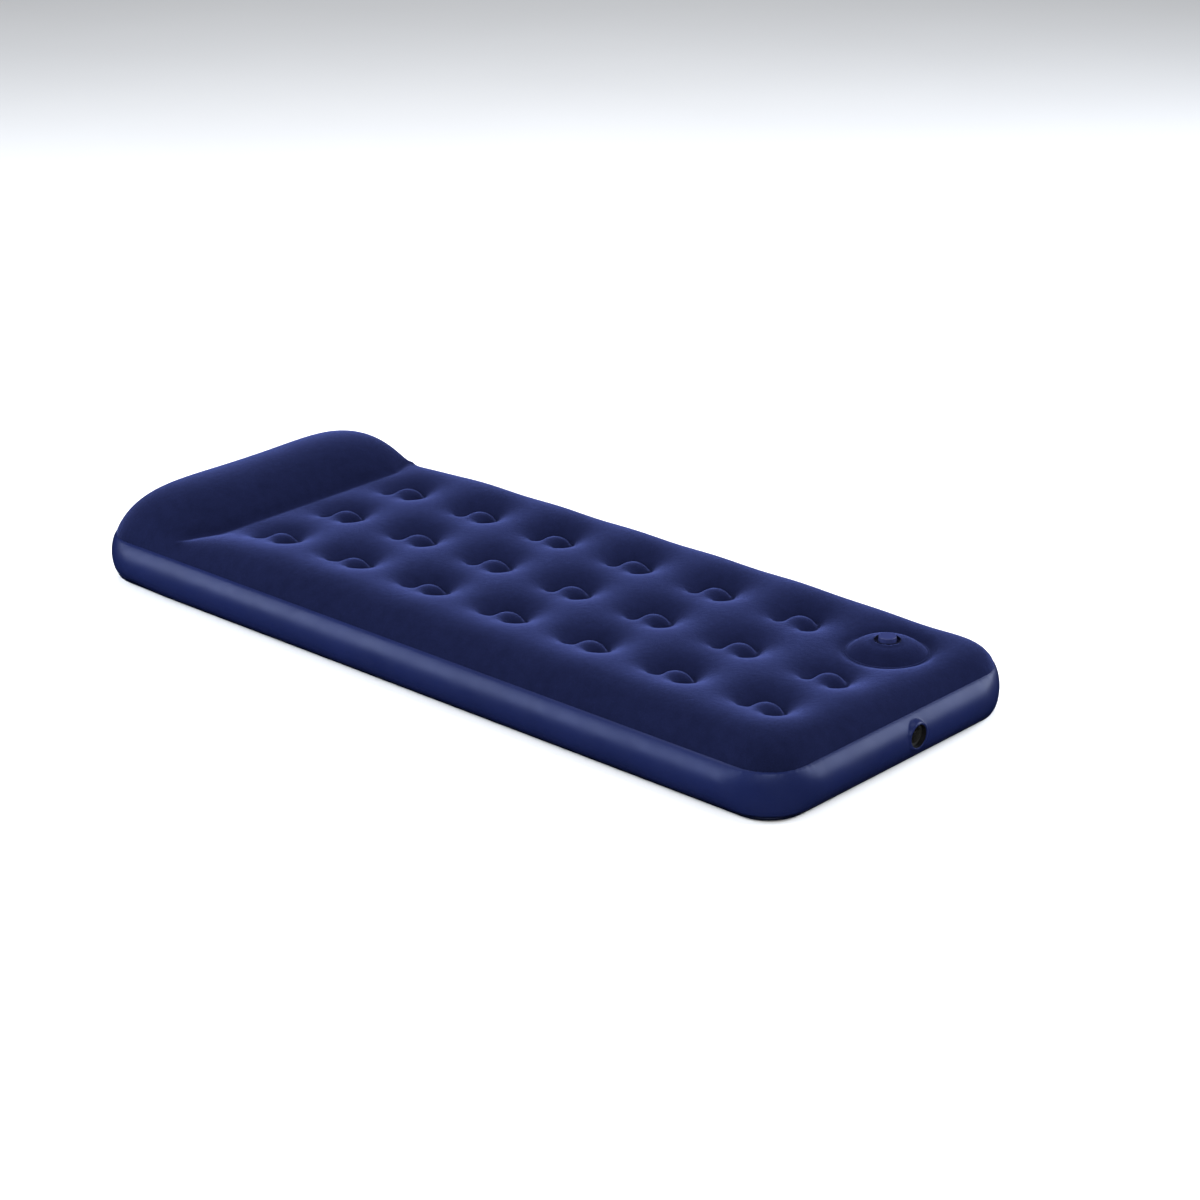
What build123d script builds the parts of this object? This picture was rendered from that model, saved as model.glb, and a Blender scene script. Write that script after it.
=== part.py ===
"""Single flocked air mattress with a built-in pillow and foot pump.

Millimetres. Z up, the floor at Z 0, the origin in the middle of the footprint, +Y towards the
pillow and +X towards the side with the foot pump.
"""

import os
from math import cos, pi, radians, sin, sqrt

from build123d import *

# ---- driving dimensions ----
LENGTH = 1850.0
WIDTH = 750.0
WALL_BULGE = 22.0  # how far the side wall bulges out past its two seams
CORNER_RADIUS = 137.0  # outside corner in plan, at the bulge
SHEET = 1.6  # thickness of every welded sheet
WELD = 10.0  # width of the weld between the side wall and a sheet

BOTTOM_SEAM_Z = 11.0
TOP_SEAM_Z = 99.0
CREST_Z = 150.0  # top of the bed between its dimples
PILLOW_Z = 200.0

DIMPLE_ROWS = 7
DIMPLE_COLUMNS = 3
PITCH_ALONG = 212.3
PITCH_ACROSS = 181.0
HEAD_ROW_Y = 537.5
DIMPLE_FLOOR_RADIUS = 44.0
TOP_DIMPLE_RADIUS = 75.0
TOP_DIMPLE_FLOOR_Z = 114.0
BOTTOM_DIMPLE_RADIUS = 60.0
BOTTOM_DIMPLE_FLOOR_Z = 16.0

COIL_RADIUS = 32.0  # bend of the horseshoe that each coil beam is in plan
COIL_BEND_X = 10.0  # centre of the bend, from the dimple's centre
COIL_END_X = -26.0  # the two open ends, from the dimple's centre

CREASE_Y = 646.0  # the weld line between pillow and bed
CREASE_Z = 126.0
CREASE_START_X = -330.0
CREASE_END_X = 350.0
CREASE_END_SWEEP = 34.0  # how far the crease's ends curve towards the head

PUMP_X = PITCH_ACROSS
PUMP_Y = HEAD_ROW_Y - (DIMPLE_ROWS - 1) * PITCH_ALONG
PUMP_RADIUS = 75.0
PUMP_RIM_Z = 126.5
PUMP_TOP_Z = 154.0
INTAKE_RADIUS = 13.5

VALVE_X = 31.0
VALVE_Z = 62.0
VALVE_FACE_Y = -LENGTH / 2
VALVE_MOUTH_RADIUS = 22.0
VALVE_FLANGE_RADIUS = 26.0
VALVE_NECK_RADIUS = 19.0
RUNNING = 0.05  # radial clearance of a piece that turns or slides in a bore
OVERSHOOT = 5.0  # how far a cutting shape runs past the faces it cuts

# ---- derived ----
SEAM_HALF_LENGTH = LENGTH / 2 - WALL_BULGE
SEAM_HALF_WIDTH = WIDTH / 2 - WALL_BULGE
SEAM_CORNER = CORNER_RADIUS - WALL_BULGE
WALL_MID_Z = (BOTTOM_SEAM_Z + TOP_SEAM_Z) / 2
HALF_WALL = (TOP_SEAM_Z - BOTTOM_SEAM_Z) / 2
SHOULDER_START = 65.0  # slope of the top sheet where it leaves the seam, in degrees
SHOULDER_RADIUS = (CREST_Z - TOP_SEAM_Z) / (1 - cos(radians(SHOULDER_START)))
SHOULDER_WIDTH = SHOULDER_RADIUS * sin(radians(SHOULDER_START))


def dimple_centres():
    """(row, column, x, y) of every dimple: the foot pump takes the place of the last one."""
    centres = []
    for row in range(DIMPLE_ROWS):
        for column in range(DIMPLE_COLUMNS):
            x = (column - (DIMPLE_COLUMNS - 1) / 2) * PITCH_ACROSS
            y = HEAD_ROW_Y - row * PITCH_ALONG
            if (x, y) != (PUMP_X, PUMP_Y):
                centres.append((row + 1, column + 1, x, y))
    return centres


def save(part, name):
    """Labels a finished piece and writes its STEP file."""
    part.label = name
    export_step(part, f"parts/{name}.step")


def upright_plane(x, y):
    """Sketch plane through an upright axis at (x, y): its x is the radius and its y the height."""
    return Plane(origin=(x, y, 0), x_dir=(1, 0, 0), z_dir=(0, -1, 0))


def layered_block(layers):
    """Solid through stacked rounded rectangles: (z, half width, low y, high y, corner radius)."""
    with BuildPart() as block:
        for z, half_width, low_y, high_y, corner in layers:
            middle = Plane.XY.offset(z).move(Location((0, (low_y + high_y) / 2, 0)))
            with BuildSketch(middle):
                RectangleRounded(2 * half_width, high_y - low_y, corner)
        loft(ruled=True)
    return block.part


def seam_layer(z, inset):
    """A layer that follows the seam's outline, inset from it."""
    corner = SEAM_CORNER * (1 - inset / (2 * SHOULDER_WIDTH))
    low_y, high_y = inset - SEAM_HALF_LENGTH, SEAM_HALF_LENGTH - inset
    return (z, SEAM_HALF_WIDTH - inset, low_y, high_y, corner)


def bed_crown(skin):
    """The bed above its top seam. skin is how far it is shrunk, for the hollow inside."""
    steps = 7
    layers = []
    for i in range(steps + 1):
        inset = SHOULDER_WIDTH * i / steps
        rise = sqrt(SHOULDER_RADIUS**2 - (SHOULDER_WIDTH - inset) ** 2)
        z = CREST_Z - SHOULDER_RADIUS + rise
        layers.append(seam_layer(z - skin, inset + skin))
    return layered_block(layers)


def pillow_mound(skin):
    """The pillow: a mound whose four sides are quarter ellipses, just inside the seam."""
    seam_gap, crease_gap = 6.0, -6.0
    front_run, back_run, side_run = 115.0, 83.0, 123.0
    corner_shrink = 0.8
    angles = (0, 20, 40, 60, 88)
    full_rise = sin(radians(angles[-1]))
    front_y = CREASE_Y + crease_gap
    back_y = SEAM_HALF_LENGTH - seam_gap
    base_half_width = SEAM_HALF_WIDTH - seam_gap
    layers = []
    for angle in angles:
        inset = 1 - cos(radians(angle))
        z = TOP_SEAM_Z + (PILLOW_Z - TOP_SEAM_Z) * sin(radians(angle)) / full_rise
        layers.append(
            (
                z - skin,
                base_half_width - side_run * inset - skin,
                front_y + front_run * inset + skin,
                back_y - back_run * inset - skin,
                (SEAM_CORNER - seam_gap) * (1 - corner_shrink * inset),
            )
        )
    return layered_block(layers)


def dimple_cutter(x, y, floor_z, mouth_z, mouth_radius, skin):
    """Bell-shaped pit with a flat floor. mouth_z above floor_z cuts down, below it cuts up."""
    up = 1 if mouth_z > floor_z else -1
    steps = 5
    flare = 1.0  # widening of the pit beyond its mouth
    outline = [(0, floor_z - up * skin)]
    for i in range(steps + 1):
        radius = DIMPLE_FLOOR_RADIUS + (mouth_radius - DIMPLE_FLOOR_RADIUS) * i / steps
        z = floor_z + (mouth_z - floor_z) * (1 - cos(pi * i / steps)) / 2
        outline.append((radius + skin, z - up * skin))
    outline.append((mouth_radius + skin + flare, mouth_z + up * OVERSHOOT))
    outline.append((0, mouth_z + up * OVERSHOOT))
    with BuildPart() as pit:
        with BuildSketch(upright_plane(x, y)):
            with BuildLine():
                Polyline(*outline, close=True)
            make_face()
        revolve(axis=Axis((x, y, 0), (0, 0, 1)))
    return pit.part


def crease_path():
    """Plan line of the crease: straight, with ends that curve towards the head."""
    bend = 90.0
    return [
        (CREASE_START_X, CREASE_Y + CREASE_END_SWEEP),
        (CREASE_START_X + bend, CREASE_Y),
        (CREASE_END_X - bend, CREASE_Y),
        (CREASE_END_X, CREASE_Y + CREASE_END_SWEEP),
    ]


def crease_cutter(skin):
    """V-shaped trench along the crease, one prism for each of its three stretches."""
    half_mouth = 22.0 + skin
    top_z = CREST_Z + 2
    points = crease_path()
    with BuildPart() as trench:
        for start, end in zip(points, points[1:]):
            run = Vector(end[0] - start[0], end[1] - start[1], 0)
            across = Plane(origin=(start[0], start[1], 0), x_dir=(-run.Y, run.X, 0), z_dir=run)
            with BuildSketch(across):
                with BuildLine():
                    Polyline(
                        (-half_mouth, top_z),
                        (0, CREASE_Z - skin),
                        (half_mouth, top_z),
                        close=True,
                    )
                make_face()
            extrude(amount=run.length)
    return trench.part


def pump_recess_cutter(skin):
    """Round recess in the top sheet that the pump's dome sits in, flared towards its mouth."""
    floor_gap, wall_gap, mouth_gap = 5.0, 9.0, 20.0
    wall_top_z = CREST_Z - 14
    mouth_z = CREST_Z + 2
    with BuildPart() as recess:
        with BuildSketch(upright_plane(PUMP_X, PUMP_Y)):
            with BuildLine():
                Polyline(
                    (0, PUMP_RIM_Z - skin),
                    (PUMP_RADIUS + floor_gap + skin, PUMP_RIM_Z - skin),
                    (PUMP_RADIUS + wall_gap + skin, wall_top_z),
                    (PUMP_RADIUS + mouth_gap + skin, mouth_z),
                    (0, mouth_z),
                    close=True,
                )
            make_face()
        revolve(axis=Axis((PUMP_X, PUMP_Y, 0), (0, 0, 1)))
    return recess.part


def seam_ring(z):
    """Flat weld allowance of a sheet: a ring along the seam's outline, WELD wide."""
    with BuildPart() as ring:
        with BuildSketch(Plane.XY.offset(z)):
            RectangleRounded(2 * SEAM_HALF_WIDTH, 2 * SEAM_HALF_LENGTH, SEAM_CORNER)
            RectangleRounded(
                2 * (SEAM_HALF_WIDTH - WELD),
                2 * (SEAM_HALF_LENGTH - WELD),
                SEAM_CORNER - WELD,
                mode=Mode.SUBTRACT,
            )
        extrude(amount=SHEET)
    return ring.part


def make_top_sheet():
    """Flocked top sheet with the pillow, the dimples, the crease and the pump's recess."""
    with BuildPart() as hollow:
        add(bed_crown(SHEET))
        add(pillow_mound(SHEET))
        for _, _, x, y in dimple_centres():
            add(
                dimple_cutter(x, y, TOP_DIMPLE_FLOOR_Z, CREST_Z, TOP_DIMPLE_RADIUS, SHEET),
                mode=Mode.SUBTRACT,
            )
        add(crease_cutter(SHEET), mode=Mode.SUBTRACT)
        add(pump_recess_cutter(SHEET), mode=Mode.SUBTRACT)
    with BuildPart() as top_sheet:
        add(bed_crown(0))
        add(pillow_mound(0))
        for _, _, x, y in dimple_centres():
            add(
                dimple_cutter(x, y, TOP_DIMPLE_FLOOR_Z, CREST_Z, TOP_DIMPLE_RADIUS, 0),
                mode=Mode.SUBTRACT,
            )
        add(crease_cutter(0), mode=Mode.SUBTRACT)
        add(pump_recess_cutter(0), mode=Mode.SUBTRACT)
        add(hollow.part, mode=Mode.SUBTRACT)
        add(seam_ring(TOP_SEAM_Z))
        with BuildSketch(Plane.XY.offset(PUMP_RIM_Z)):
            with Locations((PUMP_X, PUMP_Y)):
                Circle(PUMP_RADIUS)
        extrude(amount=OVERSHOOT, both=True, mode=Mode.SUBTRACT)
        # the slopes start below the seam once they are shrunk, so the sheet ends at the seam
        split(bisect_by=Plane.XY.offset(TOP_SEAM_Z), keep=Keep.TOP)
    save(top_sheet.part, "top_sheet")


def make_bottom_sheet():
    """Plain underside: flat on the floor between its shallow dimples, turned up to its seam."""
    flat_inset, knee_inset, knee_z = 55.0, 22.0, 4.0
    dimple_top_z = BOTTOM_DIMPLE_FLOOR_Z + SHEET
    with BuildPart() as hollow:
        add(
            layered_block(
                [
                    seam_layer(SHEET, flat_inset + SHEET),
                    seam_layer(knee_z + SHEET, knee_inset + SHEET),
                    seam_layer(BOTTOM_SEAM_Z + SHEET, SHEET),
                    seam_layer(dimple_top_z + OVERSHOOT, SHEET),
                ]
            )
        )
        for _, _, x, y in dimple_centres():
            add(
                dimple_cutter(x, y, BOTTOM_DIMPLE_FLOOR_Z, 0, BOTTOM_DIMPLE_RADIUS, SHEET),
                mode=Mode.SUBTRACT,
            )
    with BuildPart() as bottom_sheet:
        add(
            layered_block(
                [
                    seam_layer(0, flat_inset),
                    seam_layer(knee_z, knee_inset),
                    seam_layer(BOTTOM_SEAM_Z, 0),
                ]
            )
        )
        with BuildSketch(Plane.XY.offset(BOTTOM_SEAM_Z)):
            for _, _, x, y in dimple_centres():
                with Locations((x, y)):
                    Circle(TOP_DIMPLE_RADIUS)
        extrude(amount=dimple_top_z - BOTTOM_SEAM_Z)
        add(hollow.part, mode=Mode.SUBTRACT)
        for _, _, x, y in dimple_centres():
            add(
                dimple_cutter(x, y, BOTTOM_DIMPLE_FLOOR_Z, 0, BOTTOM_DIMPLE_RADIUS, 0),
                mode=Mode.SUBTRACT,
            )
        add(seam_ring(BOTTOM_SEAM_Z - SHEET))
    save(bottom_sheet.part, "bottom_sheet")


def make_side_wall():
    """Band between the seams: an outward arc with a weld allowance turned in at each seam."""
    arc_radius = (HALF_WALL**2 + WALL_BULGE**2) / (2 * WALL_BULGE)
    half_inner = HALF_WALL - SHEET
    inner_end = arc_radius - WALL_BULGE - sqrt((arc_radius - SHEET) ** 2 - half_inner**2)
    straight_x, straight_y = SEAM_HALF_WIDTH - SEAM_CORNER, SEAM_HALF_LENGTH - SEAM_CORNER
    path_start = (SEAM_HALF_WIDTH, -straight_y, WALL_MID_Z)
    section = Plane(origin=path_start, x_dir=(-1, 0, 0), z_dir=(0, 1, 0))
    with BuildPart() as side_wall:
        with BuildLine(Plane.XY.offset(WALL_MID_Z)) as seam:
            side = Line((SEAM_HALF_WIDTH, -straight_y), (SEAM_HALF_WIDTH, straight_y))
            corner = JernArc(side @ 1, side % 1, SEAM_CORNER, 90)
            for run in (2 * straight_x, 2 * straight_y, 2 * straight_x):
                side = Line(corner @ 1, corner @ 1 + corner % 1 * run)
                corner = JernArc(side @ 1, side % 1, SEAM_CORNER, 90)
        with BuildSketch(section):
            with BuildLine():
                ThreePointArc((0, -HALF_WALL), (-WALL_BULGE, 0), (0, HALF_WALL))
                Polyline(
                    (0, HALF_WALL), (WELD, HALF_WALL), (WELD, half_inner), (inner_end, half_inner)
                )
                ThreePointArc(
                    (inner_end, half_inner), (SHEET - WALL_BULGE, 0), (inner_end, -half_inner)
                )
                Polyline(
                    (inner_end, -half_inner), (WELD, -half_inner), (WELD, -HALF_WALL), (0, -HALF_WALL)
                )
            make_face()
        sweep(path=seam.wire())
        with BuildSketch(Plane.XZ.offset(-VALVE_FACE_Y + OVERSHOOT)):
            with Locations((VALVE_X, VALVE_Z)):
                Circle(VALVE_FLANGE_RADIUS)
        extrude(amount=-WALL_BULGE - 3 * OVERSHOOT, mode=Mode.SUBTRACT)
    save(side_wall.part, "side_wall")


def make_coil_beams():
    """Upright beams, horseshoes in plan, that tie the dimple floors of the two sheets together."""
    vent_radius = 6.0
    outer, inner = COIL_RADIUS, COIL_RADIUS - SHEET
    bend, end = COIL_BEND_X, COIL_END_X
    base_z = BOTTOM_DIMPLE_FLOOR_Z + SHEET
    top_z = TOP_DIMPLE_FLOOR_Z - SHEET
    for row, column, x, y in dimple_centres():
        with BuildPart() as beam:
            with BuildSketch(Plane.XY.offset(base_z).move(Location((x, y, 0)))):
                with BuildLine():
                    Polyline((bend, inner), (end, inner), (end, outer), (bend, outer))
                    ThreePointArc((bend, outer), (bend + outer, 0), (bend, -outer))
                    Polyline((bend, -outer), (end, -outer), (end, -inner), (bend, -inner))
                    ThreePointArc((bend, -inner), (bend + inner, 0), (bend, inner))
                make_face()
            extrude(amount=top_z - base_z)
            with BuildSketch(Plane.XZ.offset(-y)):
                with Locations((x, (base_z + top_z) / 2)):
                    Circle(vent_radius)
            extrude(amount=outer + OVERSHOOT, both=True, mode=Mode.SUBTRACT)
        save(beam.part, f"coil_beam_{row}_{column}")


def make_pillow_baffle():
    """Upright web under the crease, with vent holes that let air through to the pillow."""
    vent_spacing, vent_count, vent_radius = 105.0, 5, 16.0
    bend_radius = 60.0
    seam_clearance = 2.0
    edge_gap, floor_edge_gap = WELD + seam_clearance, 60.0
    top_gap = 0.3
    with BuildPart() as room:
        add(
            layered_block(
                [
                    seam_layer(SHEET, floor_edge_gap),
                    seam_layer(BOTTOM_SEAM_Z + seam_clearance, edge_gap),
                    seam_layer(TOP_SEAM_Z, edge_gap),
                ]
            )
        )
        add(bed_crown(SHEET + top_gap))
    with BuildPart() as baffle:
        with BuildSketch(Plane.XY.offset(SHEET)):
            with BuildLine():
                FilletPolyline(*crease_path(), radius=bend_radius)
                offset(amount=SHEET, side=Side.LEFT)
            make_face()
        extrude(amount=CREASE_Z - 2 * SHEET)
        add(room.part, mode=Mode.INTERSECT)
        with BuildSketch():
            Rectangle(2 * (SEAM_HALF_WIDTH - edge_gap), LENGTH)
        extrude(amount=CREST_Z, mode=Mode.INTERSECT)
        with BuildSketch(Plane.XZ.offset(-CREASE_Y)):
            with Locations((0, WALL_MID_Z)):
                with GridLocations(vent_spacing, 0, vent_count, 1):
                    Circle(vent_radius)
        extrude(amount=OVERSHOOT, both=True, mode=Mode.SUBTRACT)
    save(baffle.part, "pillow_baffle")


# ---- foot pump: its pieces are round about an upright axis ----
DOME_HEIGHT = PUMP_TOP_Z - PUMP_RIM_Z
DOME_SPHERE = (PUMP_RADIUS**2 + DOME_HEIGHT**2) / (2 * DOME_HEIGHT)
DOME_CENTRE_Z = PUMP_TOP_Z - DOME_SPHERE
CHAMBER_BASE_Z = 2 * SHEET
SEAT_RIM_RADIUS = 25.5
SEAT_FLANGE_RADIUS = 33.0
SEAT_FLANGE_Z = 145.8
GROOVE_Z = 147.5
CAP_RADIUS = 17.0
CAP_TOP_Z = 159.0
DOME_RIM_WIDTH = 4.0
DOME_RIM_RADIUS = PUMP_RADIUS + DOME_RIM_WIDTH
OUTLET_Z = 40.0
OUTLET_RADIUS = 9.0


def dome_z(radius, depth):
    """Height of the dome's sphere at a radius, depth below its outer face."""
    return DOME_CENTRE_Z + sqrt((DOME_SPHERE - depth) ** 2 - radius**2)


def pump_axis():
    return Axis((PUMP_X, PUMP_Y, 0), (0, 0, 1))


def make_pump_dome():
    """Flocked skin over the pump, with a flat rim welded down on the recess's floor."""
    rim_out, rim_z = DOME_RIM_RADIUS, PUMP_RIM_Z + SHEET
    foot_out = sqrt(DOME_SPHERE**2 - (rim_z - DOME_CENTRE_Z) ** 2)
    foot_in = sqrt((DOME_SPHERE - SHEET) ** 2 - (PUMP_RIM_Z - DOME_CENTRE_Z) ** 2)
    hole_gap = 0.2
    hole = SEAT_RIM_RADIUS + hole_gap
    mid = (hole + foot_in) / 2
    with BuildPart() as dome:
        with BuildSketch(upright_plane(PUMP_X, PUMP_Y)):
            with BuildLine():
                Polyline(
                    (foot_in, PUMP_RIM_Z), (rim_out, PUMP_RIM_Z), (rim_out, rim_z), (foot_out, rim_z)
                )
                ThreePointArc((foot_out, rim_z), (mid, dome_z(mid, 0)), (hole, dome_z(hole, 0)))
                Line((hole, dome_z(hole, 0)), (hole, dome_z(hole, SHEET)))
                ThreePointArc(
                    (hole, dome_z(hole, SHEET)), (mid, dome_z(mid, SHEET)), (foot_in, PUMP_RIM_Z)
                )
            make_face()
        revolve(axis=pump_axis())
    save(dome.part, "pump_dome")


def make_pump_foam():
    """Foam core that fills the chamber under the dome, with an air shaft under the intake."""
    gap, wall_gap = 0.6, 3.0
    shaft, outside = 20.0, PUMP_RADIUS - SHEET - wall_gap
    shoulder = SEAT_FLANGE_RADIUS + wall_gap
    top_z = SEAT_FLANGE_Z - gap
    mid = (shoulder + outside) / 2
    depth = SHEET + gap
    with BuildPart() as foam:
        with BuildSketch(upright_plane(PUMP_X, PUMP_Y)):
            with BuildLine():
                Polyline(
                    (shoulder, dome_z(shoulder, depth)),
                    (shoulder, top_z),
                    (shaft, top_z),
                    (shaft, CHAMBER_BASE_Z + gap),
                    (outside, CHAMBER_BASE_Z + gap),
                    (outside, dome_z(outside, depth)),
                )
                ThreePointArc(
                    (outside, dome_z(outside, depth)),
                    (mid, dome_z(mid, depth)),
                    (shoulder, dome_z(shoulder, depth)),
                )
            make_face()
        revolve(axis=pump_axis())
    save(foam.part, "pump_foam")


def make_pump_chamber():
    """Round wall and floor of the pump's air chamber. The wall has a hole for the outlet."""
    with BuildPart() as wall:
        with BuildSketch(Plane.XY.offset(CHAMBER_BASE_Z)):
            with Locations((PUMP_X, PUMP_Y)):
                Circle(PUMP_RADIUS)
                Circle(PUMP_RADIUS - SHEET, mode=Mode.SUBTRACT)
        extrude(amount=PUMP_RIM_Z - CHAMBER_BASE_Z)
        with BuildSketch(Plane.YZ.offset(PUMP_X - PUMP_RADIUS)):
            with Locations((PUMP_Y, OUTLET_Z)):
                Circle(OUTLET_RADIUS + RUNNING)
        extrude(amount=OVERSHOOT, both=True, mode=Mode.SUBTRACT)
    save(wall.part, "pump_chamber_wall")
    with BuildPart() as floor:
        with BuildSketch(Plane.XY.offset(SHEET)):
            with Locations((PUMP_X, PUMP_Y)):
                Circle(DOME_RIM_RADIUS)
        extrude(amount=SHEET)
    save(floor.part, "pump_chamber_floor")


def make_pump_intake_seat():
    """Moulded ring in the top of the dome: rim, groove, neck and a flange under the skin."""
    wall, flange, neck = 2.0, 1.5, 15.0
    rim_rounding = 0.8
    rim_in, neck_out = SEAT_RIM_RADIUS - wall, INTAKE_RADIUS + wall
    flange_top = SEAT_FLANGE_Z + flange
    neck_foot = SEAT_FLANGE_Z - neck
    rim_top = PUMP_TOP_Z - 1
    with BuildPart() as seat:
        with BuildSketch(upright_plane(PUMP_X, PUMP_Y)) as profile:
            with BuildLine():
                Polyline(
                    (INTAKE_RADIUS, neck_foot),
                    (neck_out, neck_foot),
                    (neck_out, SEAT_FLANGE_Z),
                    (SEAT_FLANGE_RADIUS, SEAT_FLANGE_Z),
                    (SEAT_FLANGE_RADIUS, flange_top),
                    (SEAT_RIM_RADIUS, flange_top),
                    (SEAT_RIM_RADIUS, rim_top),
                    (rim_in, rim_top),
                    (rim_in, GROOVE_Z),
                    (INTAKE_RADIUS, GROOVE_Z),
                    close=True,
                )
            make_face()
            fillet(profile.vertices().group_by(Axis.Y)[-1], radius=rim_rounding)
        revolve(axis=pump_axis())
    save(seat.part, "pump_intake_seat")


def make_pump_cap():
    """Round cap: a smooth button over a hollow plug that fits the intake."""
    plug_wall, roof, plug_reach = 2.0, 3.0, 10.0
    button_rounding = 1.8
    plug_out = INTAKE_RADIUS - RUNNING
    plug_in = plug_out - plug_wall
    plug_foot = SEAT_FLANGE_Z - plug_reach
    button_z = GROOVE_Z + RUNNING
    roof_z = CAP_TOP_Z - roof
    with BuildPart() as cap:
        with BuildSketch(upright_plane(PUMP_X, PUMP_Y)) as profile:
            with BuildLine():
                Polyline(
                    (0, CAP_TOP_Z),
                    (CAP_RADIUS, CAP_TOP_Z),
                    (CAP_RADIUS, button_z),
                    (plug_out, button_z),
                    (plug_out, plug_foot),
                    (plug_in, plug_foot),
                    (plug_in, roof_z),
                    (0, roof_z),
                    close=True,
                )
            make_face()
            top_edge = profile.vertices().sort_by(Axis.X).group_by(Axis.Y)[-1][-1]
            fillet(top_edge, radius=button_rounding)
        revolve(axis=pump_axis())
    save(cap.part, "pump_cap")


# ---- one-way outlet in the chamber's wall: round about an axis along X ----
OUTLET_FACE = PUMP_RADIUS + 11  # distance of its open end from the pump's axis
FLAP_GAP = 0.3
FLAP_PIN_RADIUS = 1.2
FLAP_PIN_X = PUMP_X - OUTLET_FACE - FLAP_GAP - FLAP_PIN_RADIUS
FLAP_PIN_Z = OUTLET_Z + OUTLET_RADIUS + 2.5
LUG_INNER_Y = 6.0
LUG_OUTER_Y = 8.5


def make_pump_outlet_seat():
    """Short tube through the chamber wall, with a flange outside and two lugs for the flap."""
    wall, flange, flange_reach = 2.0, 1.5, 4.0
    flange_gap, inner_reach = 0.3, 2.0
    bore = OUTLET_RADIUS - wall
    flange_out, flange_start = OUTLET_RADIUS + flange_reach, PUMP_RADIUS + flange_gap
    inner_end = PUMP_RADIUS - SHEET - inner_reach
    lug_radius, lug_depth, lug_clearance = FLAP_PIN_RADIUS + 1.8, 6.0, 2.0
    lug_foot_z = OUTLET_Z + OUTLET_RADIUS - 5
    axis = Axis((PUMP_X, PUMP_Y, OUTLET_Z), (-1, 0, 0))
    side = Plane(origin=(PUMP_X, PUMP_Y, OUTLET_Z), x_dir=(-1, 0, 0), z_dir=(0, 1, 0))
    with BuildPart() as seat:
        with BuildSketch(side):
            with BuildLine():
                Polyline(
                    (inner_end, bore),
                    (inner_end, OUTLET_RADIUS),
                    (flange_start, OUTLET_RADIUS),
                    (flange_start, flange_out),
                    (flange_start + flange, flange_out),
                    (flange_start + flange, OUTLET_RADIUS),
                    (OUTLET_FACE, OUTLET_RADIUS),
                    (OUTLET_FACE, bore),
                    close=True,
                )
            make_face()
        revolve(axis=axis)
        for lug_y in (PUMP_Y + LUG_INNER_Y, PUMP_Y - LUG_OUTER_Y):
            with BuildSketch(Plane.XZ.offset(-lug_y)):
                with Locations((FLAP_PIN_X, FLAP_PIN_Z)):
                    Circle(lug_radius)
                with BuildLine():
                    Polyline(
                        (FLAP_PIN_X, FLAP_PIN_Z + lug_radius),
                        (FLAP_PIN_X + lug_depth, FLAP_PIN_Z + lug_radius),
                        (FLAP_PIN_X + lug_depth, lug_foot_z),
                        (FLAP_PIN_X + lug_clearance, lug_foot_z),
                        (FLAP_PIN_X + lug_clearance, FLAP_PIN_Z - lug_radius),
                        (FLAP_PIN_X, FLAP_PIN_Z - lug_radius),
                        close=True,
                    )
                make_face()
                with Locations((FLAP_PIN_X, FLAP_PIN_Z)):
                    Circle(FLAP_PIN_RADIUS + RUNNING, mode=Mode.SUBTRACT)
            extrude(amount=-(LUG_OUTER_Y - LUG_INNER_Y))
        with BuildSketch(Plane.YZ.offset(PUMP_X - OUTLET_FACE)):
            with Locations((PUMP_Y, OUTLET_Z)):
                Circle(bore)
        extrude(amount=2 * OVERSHOOT, both=True, mode=Mode.SUBTRACT)
    save(seat.part, "pump_outlet_seat")


def make_pump_outlet_flap():
    """Rubber flap over the outlet, moulded with the pin that turns in the seat's lugs."""
    thickness, edge_gap = 1.2, 0.5
    face_x = PUMP_X - OUTLET_FACE - FLAP_GAP
    with BuildPart() as flap:
        with BuildSketch(Plane.YZ.offset(face_x)):
            with Locations((PUMP_Y, OUTLET_Z)):
                Circle(OUTLET_RADIUS - edge_gap)
            with Locations((PUMP_Y, (OUTLET_Z + FLAP_PIN_Z) / 2)):
                Rectangle(2 * (LUG_INNER_Y - edge_gap), FLAP_PIN_Z - OUTLET_Z)
        extrude(amount=-thickness)
        with BuildSketch(Plane.XZ.offset(-PUMP_Y)):
            with Locations((FLAP_PIN_X, FLAP_PIN_Z)):
                Circle(FLAP_PIN_RADIUS)
        extrude(amount=LUG_OUTER_Y, both=True)
    save(flap.part, "pump_outlet_flap")


# ---- side valve: round about an axis out through the foot-end wall ----
POCKET_RADIUS = 21.0
MOUTH_DEPTH = 8.5
SHOULDER_DEPTH = 11.5  # where the gasket lies
NECK_DEPTH = 27.5
GASKET = 1.0
INSERT_FLANGE_RADIUS = 20.8
CUP_DEPTH = 25.5
CUP_BORE = 16.4
HUB_RADIUS = 7.2
HUB_TOP_DEPTH = 16.0
HUB_FOOT_DEPTH = 20.0
STEM_RADIUS = 2.0
SPOKE_ANGLES = (0, 120, 240)
SPOKE_WIDTHS = (3.0, 3.0, 5.0)


def valve_plane():
    """Sketch plane through the valve's axis: x is the radius and y points out of the bed."""
    origin = (VALVE_X, VALVE_FACE_Y, VALVE_Z)
    return Plane(origin=origin, x_dir=(1, 0, 0), z_dir=(0, 0, -1))


def valve_axis():
    return Axis((VALVE_X, VALVE_FACE_Y, VALVE_Z), (0, -1, 0))


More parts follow.
